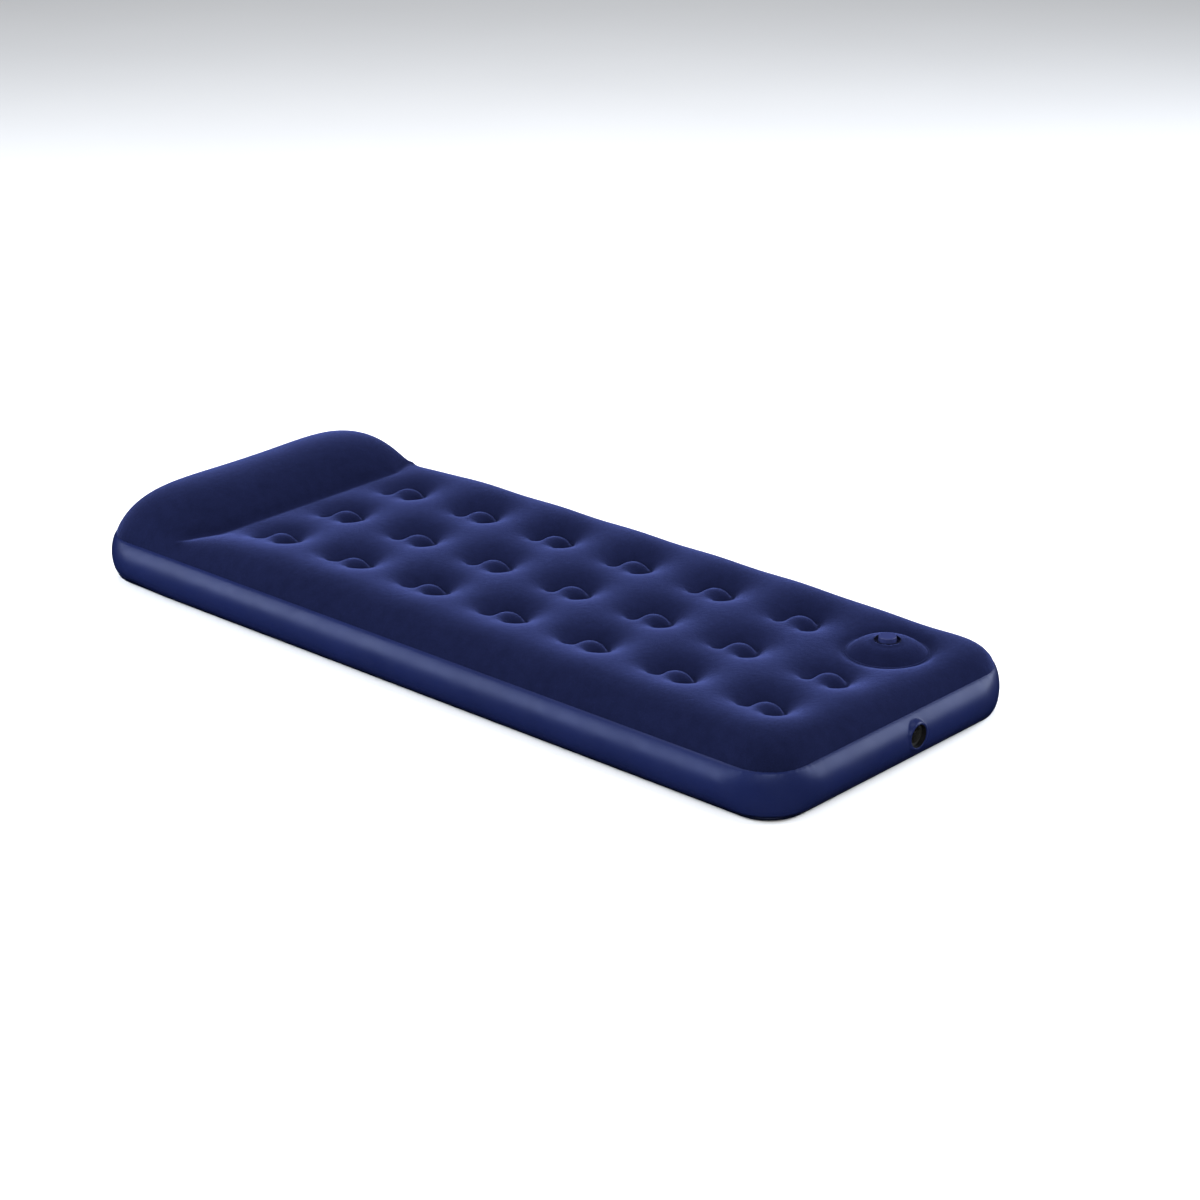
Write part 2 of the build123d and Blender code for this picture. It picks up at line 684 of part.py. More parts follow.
def valve_ring(outline):
    """Solid of revolution about the valve's axis from (radius, depth) corners."""
    with BuildPart() as ring:
        with BuildSketch(valve_plane()):
            with BuildLine():
                Polyline(*[(radius, -depth) for radius, depth in outline], close=True)
            make_face()
        revolve(axis=valve_axis())
    return ring.part


def make_valve_flange():
    """Moulded flange set in the side wall, with the mouth, the gasket's pocket and the neck."""
    boss_depth, edge_bevel, neck_wall = 15.5, 1.0, 2.5
    neck_out = VALVE_NECK_RADIUS + neck_wall
    outline = [
        (VALVE_MOUTH_RADIUS, 0),
        (VALVE_FLANGE_RADIUS - edge_bevel, 0),
        (VALVE_FLANGE_RADIUS, edge_bevel),
        (VALVE_FLANGE_RADIUS, boss_depth),
        (neck_out, boss_depth),
        (neck_out, NECK_DEPTH),
        (VALVE_NECK_RADIUS, NECK_DEPTH),
        (VALVE_NECK_RADIUS, SHOULDER_DEPTH),
        (POCKET_RADIUS, SHOULDER_DEPTH),
        (POCKET_RADIUS, MOUTH_DEPTH),
        (VALVE_MOUTH_RADIUS, MOUTH_DEPTH),
    ]
    save(valve_ring(outline), "valve_flange")


def make_valve_gasket():
    """Flat sealing ring on the neck's shoulder, under the insert's flange."""
    bore_gap = 0.3
    inner, outer = VALVE_NECK_RADIUS + bore_gap, INSERT_FLANGE_RADIUS
    top, foot = SHOULDER_DEPTH - GASKET, SHOULDER_DEPTH - RUNNING
    save(valve_ring([(inner, top), (outer, top), (outer, foot), (inner, foot)]), "valve_gasket")


def make_valve_insert():
    """Screw-in insert: flange, cup with a sealing lip at its foot, and a hub on three spokes."""
    cup_out = VALVE_NECK_RADIUS - RUNNING
    recess, lip_height, spoke_overlap = 0.4, 2.0, 1.0
    flange_top, flange_foot = MOUTH_DEPTH + recess, SHOULDER_DEPTH - GASKET - RUNNING
    lip_bore, lip_top = 12.5, CUP_DEPTH - lip_height
    spoke_length = CUP_BORE + spoke_overlap  # from the axis into the cup's wall
    hub_bore = STEM_RADIUS + RUNNING
    hub_top = (VALVE_X, VALVE_FACE_Y + HUB_TOP_DEPTH, VALVE_Z)
    with BuildPart() as insert:
        add(
            valve_ring(
                [
                    (CUP_BORE, flange_top),
                    (INSERT_FLANGE_RADIUS, flange_top),
                    (INSERT_FLANGE_RADIUS, flange_foot),
                    (cup_out, flange_foot),
                    (cup_out, CUP_DEPTH),
                    (lip_bore, CUP_DEPTH),
                    (lip_bore, lip_top),
                    (CUP_BORE, lip_top),
                ]
            )
        )
        with BuildSketch(Plane(origin=hub_top, x_dir=(1, 0, 0), z_dir=(0, -1, 0))):
            Circle(HUB_RADIUS)
            for angle, spoke_width in zip(SPOKE_ANGLES, SPOKE_WIDTHS):
                with Locations(Location((0, 0, 0), (0, 0, angle))):
                    Rectangle(spoke_length, spoke_width, align=(Align.MIN, Align.CENTER))
            Circle(hub_bore, mode=Mode.SUBTRACT)
        extrude(amount=-(HUB_FOOT_DEPTH - HUB_TOP_DEPTH))
    save(insert.part, "valve_insert")


def make_valve_diaphragm():
    """Soft one-way disc behind the insert's lip, on a stem that slides in the hub."""
    disc_radius, disc_gap, disc_thickness = 15.4, 0.3, 1.2
    disc_top = CUP_DEPTH + disc_gap
    disc_foot = disc_top + disc_thickness
    head_radius, head_top, head_foot = 3.2, 10.0, 11.4
    outline = [
        (0, head_top),
        (head_radius, head_top),
        (head_radius, head_foot),
        (STEM_RADIUS, head_foot),
        (STEM_RADIUS, disc_top),
        (disc_radius, disc_top),
        (disc_radius, disc_foot),
        (0, disc_foot),
    ]
    save(valve_ring(outline), "valve_diaphragm")


if __name__ == "__main__":
    os.makedirs("parts", exist_ok=True)
    make_top_sheet()
    make_side_wall()
    make_bottom_sheet()
    make_coil_beams()
    make_pillow_baffle()
    make_pump_dome()
    make_pump_foam()
    make_pump_chamber()
    make_pump_intake_seat()
    make_pump_cap()
    make_pump_outlet_seat()
    make_pump_outlet_flap()
    make_valve_flange()
    make_valve_gasket()
    make_valve_insert()
    make_valve_diaphragm()
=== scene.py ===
"""Looks of the flocked air mattress: its top sheet settles as a membrane under air pressure.

Metres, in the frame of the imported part: Z up, +Y towards the pillow, +X towards the foot pump.
"""

import math

import bpy
import numpy as np
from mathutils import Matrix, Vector


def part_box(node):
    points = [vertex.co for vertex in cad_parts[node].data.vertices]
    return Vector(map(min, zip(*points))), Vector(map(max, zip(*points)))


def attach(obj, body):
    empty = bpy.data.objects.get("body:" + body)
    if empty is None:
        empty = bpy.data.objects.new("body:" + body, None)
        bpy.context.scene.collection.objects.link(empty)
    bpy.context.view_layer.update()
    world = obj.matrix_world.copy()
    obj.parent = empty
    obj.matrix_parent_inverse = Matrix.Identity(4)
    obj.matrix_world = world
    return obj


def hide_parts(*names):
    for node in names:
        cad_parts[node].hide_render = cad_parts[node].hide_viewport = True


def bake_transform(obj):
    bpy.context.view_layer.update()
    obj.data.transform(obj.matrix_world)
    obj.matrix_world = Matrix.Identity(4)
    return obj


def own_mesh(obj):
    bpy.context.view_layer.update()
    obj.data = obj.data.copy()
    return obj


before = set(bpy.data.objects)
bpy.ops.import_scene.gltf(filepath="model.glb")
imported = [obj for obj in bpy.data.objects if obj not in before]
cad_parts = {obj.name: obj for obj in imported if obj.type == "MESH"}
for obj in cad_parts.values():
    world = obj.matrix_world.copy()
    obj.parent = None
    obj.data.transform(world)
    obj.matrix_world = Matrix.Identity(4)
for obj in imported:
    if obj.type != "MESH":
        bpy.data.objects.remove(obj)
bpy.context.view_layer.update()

MM = 0.001
NEAR_ZERO = 1e-6
SHEET = 1.6 * MM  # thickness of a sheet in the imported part

# ---- places and sizes that the frame gives ----
sheet_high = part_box("top_sheet")[1]
wall_low, wall_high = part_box("side_wall")
SEAM_HALF_WIDTH = sheet_high.x
SEAM_HALF_LENGTH = sheet_high.y
TOP_SEAM_Z = wall_high.z
BOTTOM_SEAM_Z = wall_low.z
WALL_BULGE = wall_high.x - SEAM_HALF_WIDTH
HALF_WALL = (TOP_SEAM_Z - BOTTOM_SEAM_Z) / 2
SEAM_CORNER = 86 * MM  # radius of the seam's corners
CORNER_ARC = math.pi / 2 * SEAM_CORNER
STRAIGHT_X = SEAM_HALF_WIDTH - SEAM_CORNER  # half of a straight stretch of the seam
STRAIGHT_Y = SEAM_HALF_LENGTH - SEAM_CORNER
OUTLINE_CORNER = 137 * MM  # radius of the corners of the wall's fullest line

dome_low, dome_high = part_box("pump_dome")
seat_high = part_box("pump_intake_seat")[1]
foam_low, foam_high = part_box("pump_foam")
PUMP_X = (dome_low.x + dome_high.x) / 2
PUMP_Y = (dome_low.y + dome_high.y) / 2
PUMP_RIM_Z = dome_low.z
PUMP_TOP_Z = seat_high.z + 1 * MM  # where the dome's sphere would end, over its hole
DOME_RIM_WIDTH = 4 * MM  # welded to the top sheet
PUMP_RADIUS = (dome_high.x - dome_low.x) / 2 - DOME_RIM_WIDTH
DOME_HOLE = 25.7 * MM  # radius, round the intake seat

flange_low, flange_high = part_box("valve_flange")
VALVE_X = (flange_low.x + flange_high.x) / 2
VALVE_Z = (flange_low.z + flange_high.z) / 2
VALVE_FACE_Y = flange_low.y
VALVE_FLANGE_RADIUS = (flange_high.x - flange_low.x) / 2

coils = [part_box(name) for name in sorted(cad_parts) if name.startswith("coil_beam_")]
COIL_RADIUS = (coils[0][1].y - coils[0][0].y) / 2
COIL_ARM = coils[0][1].x - coils[0][0].x - COIL_RADIUS
BEAM_GAP = 0.5 * MM  # keeps the top skin clear of the beams
TOP_WELD_Z = coils[0][1].z + SHEET + BEAM_GAP
BOTTOM_WELD_Z = coils[0][0].z - SHEET

# ---- the crease between pillow and bed ----
baffle_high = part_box("pillow_baffle")[1]
BAFFLE_GAP = 2 * MM  # keeps the top skin clear of the baffle
CREASE_Z = baffle_high.z + SHEET + BAFFLE_GAP
CREASE_Y = 646 * MM
CREASE_END_Y = CREASE_Y + 34 * MM  # both ends of the crease turn towards the pillow
CREASE_POINTS = (
    (-330 * MM, CREASE_END_Y),
    (-240 * MM, CREASE_Y),
    (260 * MM, CREASE_Y),
    (350 * MM, CREASE_END_Y),
)

# ---- pressure over tension, per metre, which shapes the membrane ----
BED_LOAD = 5.0
BED_EDGE_LOAD = 15.1
PILLOW_LOAD = 7.1
PILLOW_EDGE_LOAD = 4.6
PILLOW_END_LOAD = 5.5  # the pillow's two ends are fuller than a plain membrane's
PILLOW_END_WIDTH = 145 * MM
TONGUE_LOAD = 52.0  # in the bend of each horseshoe, where the slack of its weld stands up
PUMP_COLLAR_LOAD = 16.0  # next to the pump's rim
EDGE_WIDTH = 57 * MM  # over which the edge loads fade
CORNER_EXTRA = 0.7  # share that the edge loads gain in a corner
CORNER_SPREAD = 115 * MM  # over which that gain fades


# ---- places in plan ----
def smooth(value, start, end):
    """0 before start, 1 after end, with a soft turn between them."""
    t = np.clip((value - start) / (end - start), 0, 1)
    return t * t * (3 - 2 * t)


def fading(distance, reach):
    """1 where the distance is 0, falling along a bell curve that is that wide."""
    return np.exp(-((distance / reach) ** 2))


def ripple(place, length, phase=0):
    """A sine wave of that length along a line."""
    return np.sin(2 * math.pi * place / length + phase)


def coil_places():
    """(x, y) of the middle of each coil beam's bend."""
    return [(high.x - COIL_RADIUS, (low.y + high.y) / 2) for low, high in coils]


def horseshoe_distance(dx, dy):
    """Distance to a horseshoe weld about its bend's middle: a half ring on +X and two arms."""
    ring = abs(np.hypot(dx, dy) - COIL_RADIUS)
    arms = np.hypot(dx - np.clip(dx, -COIL_ARM, 0), abs(dy) - COIL_RADIUS)
    return np.where(dx > 0, ring, arms)


def crease_distance(x, y):
    """Distance to the crease's line in plan."""
    nearest = np.full(x.shape, np.inf)
    for (x0, y0), (x1, y1) in zip(CREASE_POINTS, CREASE_POINTS[1:]):
        run_x, run_y = x1 - x0, y1 - y0
        t = np.clip(((x - x0) * run_x + (y - y0) * run_y) / (run_x**2 + run_y**2), 0, 1)
        nearest = np.minimum(nearest, np.hypot(x - x0 - t * run_x, y - y0 - t * run_y))
    return nearest


def corner_share(x, y, spread):
    """1 in the seam's rounded corners, falling to 0 at spread along the straight sides."""
    past_x, past_y = abs(x) - STRAIGHT_X, abs(y) - STRAIGHT_Y
    return smooth(np.minimum(past_x, past_y), -spread, 0)


def seam_place(x, y):
    """Length along the seam, counted in each quarter from where its corner starts."""
    past_x, past_y = abs(x) - STRAIGHT_X, abs(y) - STRAIGHT_Y
    turn = np.arctan2(np.maximum(past_y, 0), np.maximum(past_x, NEAR_ZERO)) * SEAM_CORNER
    shift_x, shift_y = 7 * MM, 3 * MM  # so that no two corners fold alike
    shift = shift_x * np.sign(x) + shift_y * np.sign(y)
    return turn + np.minimum(past_y, 0) - np.minimum(past_x, 0) + shift


def puckers(x, y, from_seam):
    """Small folds across the seam, where the sheets are gathered round a corner."""
    height, reach, spread = 0.45 * MM, 8 * MM, 60 * MM
    short_fold, long_fold, long_share = 12 * MM, 19 * MM, 0.6
    place = seam_place(x, y)
    folds = ripple(place, short_fold) + long_share * ripple(place, long_fold)
    return height * folds * fading(from_seam, reach) * corner_share(x, y, spread)


def seam_tuck(from_seam):
    """How far the skins are drawn in at a seam, which makes the groove along it."""
    depth, reach = 1.4 * MM, 2.5 * MM
    return depth * fading(from_seam, reach)


def bottom_seam_z(x, y):
    """The bottom seam lifts off the floor a little at the two corners under the pillow."""
    lift, spread = 6 * MM, 120 * MM
    return BOTTOM_SEAM_Z + lift * corner_share(x, y, spread) * (y > 0)


# ---- membranes ----
STEPS = ((1, 0), (0, 1), (1, 1), (1, -1))  # along the edges that join a grid's points
CORNER_AT = {"a": (0, 0), "b": (1, 0), "c": (1, 1), "d": (0, 1)}  # of a cell


def ends(grid, step):
    """The two views of a grid whose entries are joined by step: along, across or diagonally."""
    if step == (1, 0):
        return grid[:-1, :], grid[1:, :]
    if step == (0, 1):
        return grid[:, :-1], grid[:, 1:]
    if step == (1, 1):
        return grid[:-1, :-1], grid[1:, 1:]
    return grid[:-1, 1:], grid[1:, :-1]


class Plan:
    """Points of a sheet in plan: a grid whose rings follow the rounded outline of the seam."""

    def __init__(self, spacing):
        columns = 2 * round(SEAM_HALF_WIDTH / spacing)
        rows = 2 * round(SEAM_HALF_LENGTH / spacing)
        u = np.linspace(-SEAM_HALF_WIDTH, SEAM_HALF_WIDTH, columns + 1)[:, None]
        v = np.linspace(-SEAM_HALF_LENGTH, SEAM_HALF_LENGTH, rows + 1)[None, :]
        u, v = np.broadcast_arrays(u, v)
        self.inset = np.minimum(SEAM_HALF_WIDTH - abs(u), SEAM_HALF_LENGTH - abs(v))
        corner = np.maximum(SEAM_CORNER - self.inset, 0)
        straight_x = SEAM_HALF_WIDTH - self.inset - corner
        straight_y = SEAM_HALF_LENGTH - self.inset - corner
        past_x, past_y = abs(u) - straight_x, abs(v) - straight_y
        rounded = (past_x > 0) & (past_y > 0)
        turn = math.pi / 4 * (1 + (past_y - past_x) / np.maximum(corner, MM))
        self.x = np.sign(u) * np.where(rounded, straight_x + corner * np.cos(turn), abs(u))
        self.y = np.sign(v) * np.where(rounded, straight_y + corner * np.sin(turn), abs(v))
        # each cell is cut by the diagonal that points at the middle of the sheet
        middle = (u[:-1, :-1] + u[1:, 1:]) * (v[:-1, :-1] + v[1:, 1:])
        self.rising = middle > 0

    def faces(self):
        """Two triangles for each cell, seen anticlockwise from above."""
        index = np.arange(self.x.size).reshape(self.x.shape)
        at = {}
        for name, (i, j) in CORNER_AT.items():
            at[name] = index[i : i + self.rising.shape[0], j : j + self.rising.shape[1]]
        found = []
        for names, used in cell_triangles(self.rising):
            found.append(np.stack([at[name][used] for name in names], axis=1))
        return np.concatenate(found)


def cell_triangles(rising):
    """The corners of each kind of triangle, and the cells that are cut into that kind."""
    return (("abc", rising), ("acd", rising), ("abd", ~rising), ("bcd", ~rising))


def stiffness(plan, z):
    """Weights along the grid's edges, and areas about its points, of a membrane of heights z."""
    weights = {step: np.zeros(ends(plan.x, step)[0].shape) for step in STEPS}
    columns, rows = plan.rising.shape
    area = np.zeros(plan.x.shape)
    smallest_area = 1e-9

    def corner(grid, name):
        """The values of a grid at that corner of every cell."""
        i, j = CORNER_AT[name]
        return grid[i : i + columns, j : j + rows]

    for names, used in cell_triangles(plan.rising):
        x, y, h = ([corner(grid, n) for n in names] for grid in (plan.x, plan.y, z))
        twice_area = (x[1] - x[0]) * (y[2] - y[0]) - (x[2] - x[0]) * (y[1] - y[0])
        twice_area = np.maximum(twice_area, smallest_area)
        slope_x = ((h[1] - h[0]) * (y[2] - y[0]) - (h[2] - h[0]) * (y[1] - y[0])) / twice_area
        slope_y = ((h[2] - h[0]) * (x[1] - x[0]) - (h[1] - h[0]) * (x[2] - x[0])) / twice_area
        slack = used / np.sqrt(1 + slope_x**2 + slope_y**2)
        for k in range(3):
            p, q, r = k, (k + 1) % 3, (k + 2) % 3
            dot = (x[q] - x[p]) * (x[r] - x[p]) + (y[q] - y[p]) * (y[r] - y[p])
            cotangent = dot / twice_area / 2 * slack
            (i0, j0), (i1, j1) = CORNER_AT[names[q]], CORNER_AT[names[r]]
            if (i1 - i0, j1 - j0) not in STEPS:
                (i0, j0), (i1, j1) = (i1, j1), (i0, j0)
            step = (i1 - i0, j1 - j0)
            start_j = j0 if step != (1, -1) else j0 - 1
            weights[step][i0 : i0 + columns, start_j : start_j + rows] += cotangent
            # each corner has a third of the triangle
            corner(area, names[k])[...] += used * twice_area / 6
    return weights, area


def pull(weights, springs, z):
    """Force on every point: along its edges, and to the springs that hold it."""
    force = springs * z
    for step in STEPS:
        near, far = ends(z, step)
        flow = weights[step] * (near - far)
        near_force, far_force = ends(force, step)
        near_force += flow
        far_force -= flow
    return force


def settle(plan, load, hold, held_z, rounds=5, tolerance=1e-5, limit=2000):
    """Heights of a membrane with a constant tension, by conjugate gradients.

    load is the pressure over the tension, per metre, and hold is a spring per area that pulls
    each point to held_z. Each round measures the slopes again.
    """
    z = np.where(hold > 0, held_z, TOP_SEAM_Z)
    for _ in range(rounds):
        weights, area = stiffness(plan, z)
        springs = hold * area
        target = load * area + springs * held_z
        diagonal = springs.copy()
        for step in STEPS:
            near, far = ends(diagonal, step)
            near += weights[step]
            far += weights[step]
        residual = target - pull(weights, springs, z)
        scaled = residual / diagonal
        direction = scaled.copy()
        energy = (residual * scaled).sum()
        enough = tolerance**2 * (target**2 / diagonal).sum()
        for _ in range(limit):
            if energy <= enough:
                break
            pushed = pull(weights, springs, direction)
            length = energy / (direction * pushed).sum()
            z = z + length * direction
            residual -= length * pushed
            scaled = residual / diagonal
            before, energy = energy, (residual * scaled).sum()
            direction = scaled + energy / before * direction
    return z


# ---- meshes ----
def make_piece(name, points, faces, material):
    """A smooth-shaded mesh object of the given points and faces."""
    mesh = bpy.data.meshes.new(name)
    mesh.from_pydata(np.asarray(points).tolist(), [], np.asarray(faces).tolist())
    mesh.polygons.foreach_set("use_smooth", [True] * len(mesh.polygons))
    mesh.materials.append(material)
    mesh.validate()
    piece = bpy.data.objects.new(name, mesh)
    bpy.context.scene.collection.objects.link(piece)
    return piece


def without_hole(points, faces, distance, radius, onto_circle):
    """Faces outside a round hole. The points at its edge are moved onto the circle."""
    centre_distance = distance[faces].mean(axis=1)
    kept, cut = faces[centre_distance > radius], faces[centre_distance <= radius]
    edge = np.intersect1d(kept, cut)
    points[edge] = onto_circle(points[edge])
    used, renumbered = np.unique(kept, return_inverse=True)
    return points[used], renumbered.reshape(kept.shape)


def circle_pull(middle, radius, first, second):
    """A function that moves points onto a circle about middle, in two of their axes."""

    def onto_circle(points):
        across = points[:, [first, second]] - middle
        across *= radius / np.linalg.norm(across, axis=1)[:, None]
        points[:, [first, second]] = middle + across
        return points

    return onto_circle


def revolved(profile, middle, segments=144):
    """Points and faces of a profile of (radius, height) turned about an upright axis."""
    turn = np.arange(segments) * 2 * math.pi / segments
    radius, height = np.array(profile).T
    x = middle[0] + np.outer(radius, np.cos(turn))
    y = middle[1] + np.outer(radius, np.sin(turn))
    z = np.repeat(height[:, None], segments, axis=1)
    points = np.stack([x, y, z], axis=2).reshape(-1, 3)
    return points, band_faces(len(profile), segments)


def band_faces(rows, columns):
    """Quads between rows of points, each of which goes round and closes on itself."""
    index = np.arange(rows * columns).reshape(rows, columns)
    beyond = np.roll(index, -1, axis=1)
    quads = np.stack([index[:-1], beyond[:-1], beyond[1:], index[1:]], axis=2)
    return quads.reshape(-1, 4)


# ---- materials ----
class Finish:
    """A material: a Principled shader with the node chain that varies it over the surface."""

    def __init__(self, name, color, roughness, **constants):
        self.material = bpy.data.materials.new(name)
        self.material.use_nodes = True
        self.tree = self.material.node_tree
        self.shader = self.tree.nodes["Principled BSDF"]
        self.color = color
        self.shader.inputs["Roughness"].default_value = roughness
        for socket, value in constants.items():
            self.shader.inputs[socket.replace("_", " ")].default_value = value
        self.place = self.tree.nodes.new("ShaderNodeTexCoord").outputs["Object"]
        self.tint = None
        self.height = None

    def add(self, kind, links, **settings):
        """Adds a node. Its sockets are linked or set, by what links gives for each of them."""
        node = self.tree.nodes.new(kind)
        for name, value in settings.items():
            setattr(node, name, value)
        for socket, value in links.items():
            if isinstance(value, bpy.types.NodeSocket):
                self.tree.links.new(value, node.inputs[socket])
            else:
                node.inputs[socket].default_value = value
        return node

    def noise(self, size, detail):
        """Noise with features of that size, in metres."""
        links = {"Vector": self.place, "Scale": 1 / size, "Detail": detail}
        return self.add("ShaderNodeTexNoise", links).outputs["Fac"]

    def ranged(self, value, low, high, start=0.3, end=0.7):
        """Maps start to low and end to high. Most of a noise lies between 0.3 and 0.7."""
        links = {"Value": value, "From Min": start, "From Max": end, "To Min": low, "To Max": high}
        return self.add("ShaderNodeMapRange", links).outputs["Result"]

    def vary(self, size, amount, detail=2.0):
        """Makes the colour lighter and darker by amount, over features of that size."""
        self.scale_tint(self.ranged(self.noise(size, detail), 1 - amount, 1 + amount))

    def paint_shade_at_foot(self, low_z, high_z, share):
        """Paints shade: scales the colour down to that share at low_z, and leaves it as it is from
        high_z up.
        """
        height = self.add("ShaderNodeSeparateXYZ", {"Vector": self.place}).outputs["Z"]
        self.scale_tint(self.ranged(height, share, 1, low_z, high_z))

    def scale_tint(self, factor):
        """Multiplies the colour's scale by one more factor."""
        if self.tint is not None:
            links = {0: self.tint, 1: factor}
            factor = self.add("ShaderNodeMath", links, operation="MULTIPLY").outputs["Value"]
        self.tint = factor

    def bump(self, size, depth, detail=2.0):
        """Adds relief with features of that size and depth, in metres."""
        height = self.ranged(self.noise(size, detail), 0, depth)
        if self.height is not None:
            links = {0: self.height, 1: height}
            height = self.add("ShaderNodeMath", links, operation="ADD").outputs["Value"]
        self.height = height

    def vary_roughness(self, size, low, high):
        """Makes patches of that size duller and shinier."""
        value = self.ranged(self.noise(size, detail=3.0), low, high)
        self.tree.links.new(value, self.shader.inputs["Roughness"])

    def done(self):
        """Joins the colour and the relief to the shader, and gives the material."""
        links = {"Vector": self.color, "Scale": self.tint}
        scaled = self.add("ShaderNodeVectorMath", links, operation="SCALE")
        self.tree.links.new(scaled.outputs["Vector"], self.shader.inputs["Base Color"])
        if self.height is not None:
            links = {"Height": self.height, "Distance": 1.0, "Strength": 1.0}
            relief = self.add("ShaderNodeBump", links)
            self.tree.links.new(relief.outputs["Normal"], self.shader.inputs["Normal"])
        return self.material


def flock():
    """Short velvet pile: its fibres catch light at grazing angles, and its nap lies in patches."""
    finish = Finish(
        "flock",
        (0.0031, 0.0041, 0.0145),
        1.0,
        Specular_IOR_Level=0.0,
        Sheen_Weight=0.155,
        Sheen_Roughness=0.35,
        Sheen_Tint=(0.26, 0.34, 1.0, 1.0),
    )
    finish.vary(size=180 * MM, amount=0.07)
    finish.vary(size=22 * MM, amount=0.09, detail=3.0)
    finish.vary(size=1.6 * MM, amount=0.16)
    finish.bump(size=1.4 * MM, depth=0.22 * MM)
    finish.bump(size=9 * MM, depth=0.25 * MM)
    return finish.done()


def vinyl(name, color):
    """Calendered PVC sheet: a fine grain and faint waves in a satin surface, with painted shade at
    its foot.
    """
    roughness, bluish = 0.4, (0.5, 0.6, 1.0, 1.0)
    finish = Finish(name, color, roughness, Specular_IOR_Level=0.105, Specular_Tint=bluish)
    finish.vary(size=120 * MM, amount=0.08)
    finish.vary(size=2.5 * MM, amount=0.05)
    # painted shade along the bottom seam: the colour falls to 0.3 of itself below 2 mm over the
    # seam, which darkens the bottom skin too
    finish.paint_shade_at_foot(BOTTOM_SEAM_Z + 2 * MM, BOTTOM_SEAM_Z + 7 * MM, share=0.3)
    finish.vary_roughness(35 * MM, roughness - 0.04, roughness + 0.05)
    finish.bump(size=1.1 * MM, depth=0.02 * MM)
    finish.bump(size=38 * MM, depth=0.12 * MM)
    return finish.done()


def moulded(name, color, roughness, specular):
    """Injection-moulded plastic or rubber with a faint grain."""
    finish = Finish(name, color, roughness, Specular_IOR_Level=specular)
    finish.vary(size=14 * MM, amount=0.06)
    finish.vary(size=0.9 * MM, amount=0.05)
    finish.vary_roughness(9 * MM, roughness - 0.04, roughness + 0.06)
    finish.bump(size=0.5 * MM, depth=0.012 * MM)
    return finish.done()


def foam():
    """Open-cell foam: pale and matt, with small dark pores."""
    finish = Finish("foam", (0.62, 0.60, 0.52), 0.95, Specular_IOR_Level=0.1)
    finish.vary(size=40 * MM, amount=0.05)
    finish.vary(size=1.5 * MM, amount=0.25, detail=3.0)
    finish.bump(size=1.5 * MM, depth=0.6 * MM, detail=3.0)
    return finish.done()


# ---- soft pieces ----
def top_sheet_load(plan):
    """Pressure over tension at each point of the top sheet."""
    tongue_from = -1.2 * COIL_ARM  # the load is small at the open end of a horseshoe
    collar_from, collar_to = PUMP_RADIUS + 12 * MM, PUMP_RADIUS + 40 * MM
    corner_x, corner_y = abs(plan.x) - SEAM_HALF_WIDTH, abs(plan.y) - SEAM_HALF_LENGTH
    corner = CORNER_EXTRA * np.exp(-(corner_x**2 + corner_y**2) / CORNER_SPREAD**2)
    edge = fading(plan.inset, EDGE_WIDTH)
    end = fading(SEAM_HALF_WIDTH - abs(plan.x), PILLOW_END_WIDTH)
    pillow_load = PILLOW_LOAD + PILLOW_EDGE_LOAD * edge * (1 + corner) + PILLOW_END_LOAD * end
    bed_load = BED_LOAD + BED_EDGE_LOAD * edge * (1 + corner)
    load = np.where(plan.y > CREASE_Y, pillow_load, bed_load)
    for x, y in coil_places():
        dx, dy = plan.x - x, plan.y - y
        inside = (np.hypot(np.maximum(dx, 0), dy) < COIL_RADIUS) & (dx > -COIL_ARM)
        load[inside] = TONGUE_LOAD * smooth(dx[inside], tongue_from, 0)
    from_pump = np.hypot(plan.x - PUMP_X, plan.y - PUMP_Y)
    return load + PUMP_COLLAR_LOAD * (1 - smooth(from_pump, collar_from, collar_to))


def top_sheet_heights(plan):
    """Heights of the top sheet, held at its seam, its welds, the crease and the pump's rim."""
    weld_spring, seam_spring = 1e6, 1e9
    line_reach, horseshoe_reach = 3 * MM, 1.6 * MM
    pump_weld_width, below_rim = 6 * MM, 0.3 * MM
    crease_slope = 1.7  # the steepest that the crease comes down to the seam at its ends
    hold = np.zeros(plan.x.shape)
    held_z = np.zeros(plan.x.shape)

    def weld(distance, z, reach=line_reach):
        nonlocal hold, held_z
        spring = weld_spring * fading(distance, reach)
        spring = np.where(spring < 1, 0, spring)
        held_z = np.where(spring > hold, z, held_z)
        hold = np.maximum(hold, spring)

    at_seam = plan.inset < NEAR_ZERO
    weld(np.where(at_seam, 0, 1), TOP_SEAM_Z)
    hold[at_seam] = seam_spring
    for x, y in coil_places():
        weld(horseshoe_distance(plan.x - x, plan.y - y), TOP_WELD_Z, horseshoe_reach)
    crease_z = np.minimum(CREASE_Z, TOP_SEAM_Z + crease_slope * plan.inset)
    weld(crease_distance(plan.x, plan.y), crease_z)
    from_pump = np.hypot(plan.x - PUMP_X, plan.y - PUMP_Y)
    weld(np.maximum(from_pump - PUMP_RADIUS - pump_weld_width, 0), PUMP_RIM_Z - below_rim)
    return settle(plan, top_sheet_load(plan), hold, held_z)


def sheet_points(plan, z, push):
    """A sheet's points at the heights z, pushed out from the middle by push at the seam."""
    x = plan.x + push * plan.x / SEAM_HALF_WIDTH
    y = plan.y + push * plan.y / SEAM_HALF_LENGTH
    return np.stack([x.ravel(), y.ravel(), z.ravel()], axis=1)


